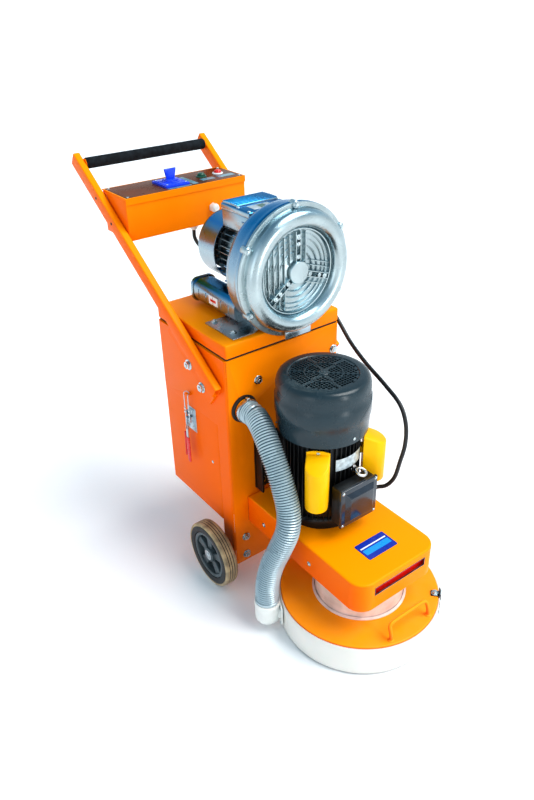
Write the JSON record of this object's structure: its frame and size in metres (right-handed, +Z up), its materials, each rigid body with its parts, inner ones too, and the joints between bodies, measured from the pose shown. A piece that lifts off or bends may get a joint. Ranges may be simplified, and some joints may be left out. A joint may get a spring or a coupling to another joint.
{
  "type": "walk-behind floor grinder",
  "caption": "Walk-behind concrete floor grinder: belt-driven shrouded grinding head, wheeled dust tank with sliding bin, blower on top and push handle.",
  "frame": {"origin": "on the floor, under the middle of the machine's footprint box", "axes": "+Z up, -Y towards the grinding head, +X towards the side with the cable and the push buttons"},
  "size_m": [0.531, 1.255, 1.1266],
  "materials": {
    "orange_paint": "gloss powder coat",
    "zinc": "zinc plated",
    "cast_aluminium": "cast, satin",
    "black_rubber": "matte",
    "grip_foam": "soft foam",
    "tyre_rubber": "tan solid rubber",
    "hub_grey": "moulded",
    "slate_plastic": "satin",
    "black_plastic": "gloss",
    "motor_paint": "black enamel over cast aluminium",
    "yellow_plastic": "gloss",
    "white_plastic": "satin",
    "skirt_rubber": "satin",
    "blue_plastic": "gloss",
    "green_plastic": "gloss",
    "red_plastic": "gloss",
    "hose_grey": "ribbed",
    "steel": "machined",
    "cast_iron": "as cast",
    "filter_paper": "pleated"
  },
  "bodies": {
    "chassis": {"tank_shell": "orange_paint", "lid_gasket": "black_rubber", "tank_lid": "orange_paint", "filter_cartridge": "filter_paper", "arm_left": "orange_paint", "arm_right": "orange_paint", "grip_bar": "steel", "grip_sleeve": "grip_foam", "control_box": "orange_paint", "control_panel": "orange_paint", "switch_plate": "blue_plastic", "cable_gland": "white_plastic", "blower_housing": "cast_aluminium", "blower_cover": "cast_aluminium", "blower_motor": "cast_aluminium", "blower_cowl": "cast_aluminium", "blower_terminal_box": "cast_aluminium", "silencer_left": "cast_aluminium", "silencer_right": "cast_aluminium", "blower_base": "zinc", "motor_body": "motor_paint", "fan_cowl": "slate_plastic", "capacitor_left": "yellow_plastic", "capacitor_right": "yellow_plastic", "terminal_box": "black_plastic", "terminal_lid": "black_plastic", "drive_cover": "orange_paint", "deck_plate": "orange_paint", "bearing_housing": "cast_iron", "drive_belt": "black_rubber", "dust_sleeve": "white_plastic", "axle": "steel", "axle_carrier": "orange_paint", "vacuum_hose": "hose_grey", "motor_cable": "black_rubber"},
    "dust_bin": {"dust_bin": "orange_paint", "bin_handle": "zinc", "latch_base_left": "zinc", "latch_base_right": "zinc"},
    "latch_left": {"latch_lever_left": "red_plastic"},
    "latch_right": {"latch_lever_right": "red_plastic"},
    "hook_left": {"latch_hook_left": "zinc"},
    "hook_right": {"latch_hook_right": "zinc"},
    "wheel_left": {"wheel_hub_left": "hub_grey", "tyre_left": "tyre_rubber"},
    "wheel_right": {"wheel_hub_right": "hub_grey", "tyre_right": "tyre_rubber"},
    "motor_rotor": {"motor_rotor": "steel", "motor_pulley": "cast_iron"},
    "head": {"spindle": "steel", "grinding_disc": "cast_iron"},
    "blower_rotor": {"impeller": "cast_aluminium", "blower_shaft": "steel"},
    "shroud": {"shroud_ring": "orange_paint", "skirt": "skirt_rubber", "shroud_handle": "orange_paint", "hose_elbow": "white_plastic"},
    "switch_knob": {"switch_knob": "blue_plastic"},
    "start_button": {"start_button": "green_plastic"},
    "stop_button": {"stop_button": "red_plastic"}
  },
  "joints": [
    {"name": "wheel_spin_left", "type": "hinge", "parent": "chassis", "child": "wheel_left", "pos_m": [-0.2445, -0.049, 0.1], "axis": [1, 0, 0], "continuous": true},
    {"name": "wheel_spin_right", "type": "hinge", "parent": "chassis", "child": "wheel_right", "pos_m": [0.2445, -0.049, 0.1], "axis": [1, 0, 0], "continuous": true},
    {"name": "head_spin", "type": "hinge", "parent": "chassis", "child": "head", "pos_m": [0, -0.407, 0.04], "axis": [0, 0, 1], "continuous": true},
    {"name": "motor_spin", "type": "hinge", "parent": "chassis", "child": "motor_rotor", "pos_m": [-0.004, -0.245, 0.4], "axis": [0, 0, 1], "continuous": true},
    {"name": "blower_spin", "type": "hinge", "parent": "chassis", "child": "blower_rotor", "pos_m": [0.022, -0.05, 0.921], "axis": [0, 1, 0], "continuous": true},
    {"name": "shroud_lift", "type": "slide", "parent": "chassis", "child": "shroud", "axis": [0, 0, 1], "range_m": [0, 0.03], "deforming": ["vacuum_hose"]},
    {"name": "bin_slide", "type": "slide", "parent": "chassis", "child": "dust_bin", "axis": [0, 1, 0], "range_m": [0, 0.3]},
    {"name": "latch_turn_left", "type": "hinge", "parent": "dust_bin", "child": "latch_left", "pos_m": [-0.201, 0.106, 0.47], "axis": [0, 1, 0], "range_deg": [0, 120]},
    {"name": "hook_turn_left", "type": "hinge", "parent": "latch_left", "child": "hook_left", "pos_m": [-0.2045, 0.106, 0.452], "axis": [0, 1, 0], "range_deg": [-120, 0]},
    {"name": "latch_turn_right", "type": "hinge", "parent": "dust_bin", "child": "latch_right", "pos_m": [0.201, 0.106, 0.47], "axis": [0, -1, 0], "range_deg": [0, 120]},
    {"name": "hook_turn_right", "type": "hinge", "parent": "latch_right", "child": "hook_right", "pos_m": [0.2045, 0.106, 0.452], "axis": [0, -1, 0], "range_deg": [-120, 0]},
    {"name": "switch_turn", "type": "hinge", "parent": "chassis", "child": "switch_knob", "pos_m": [-0.02, 0.415, 1.052], "axis": [0, 0, 1], "range_deg": [0, 90]},
    {"name": "start_press", "type": "slide", "parent": "chassis", "child": "start_button", "axis": [0, 0, -1], "range_m": [0, 0.004], "stiffness_N_per_m": 800, "springref_m": -0.001},
    {"name": "stop_press", "type": "slide", "parent": "chassis", "child": "stop_button", "axis": [0, 0, -1], "range_m": [0, 0.004], "stiffness_N_per_m": 800, "springref_m": -0.001}
  ],
  "couplings": [
    {"joint": "motor_spin", "follows": "head_spin", "ratio": 1.8889},
    {"joint": "hook_turn_left", "follows": "latch_turn_left", "ratio": -1},
    {"joint": "hook_turn_right", "follows": "latch_turn_right", "ratio": -1}
  ]
}
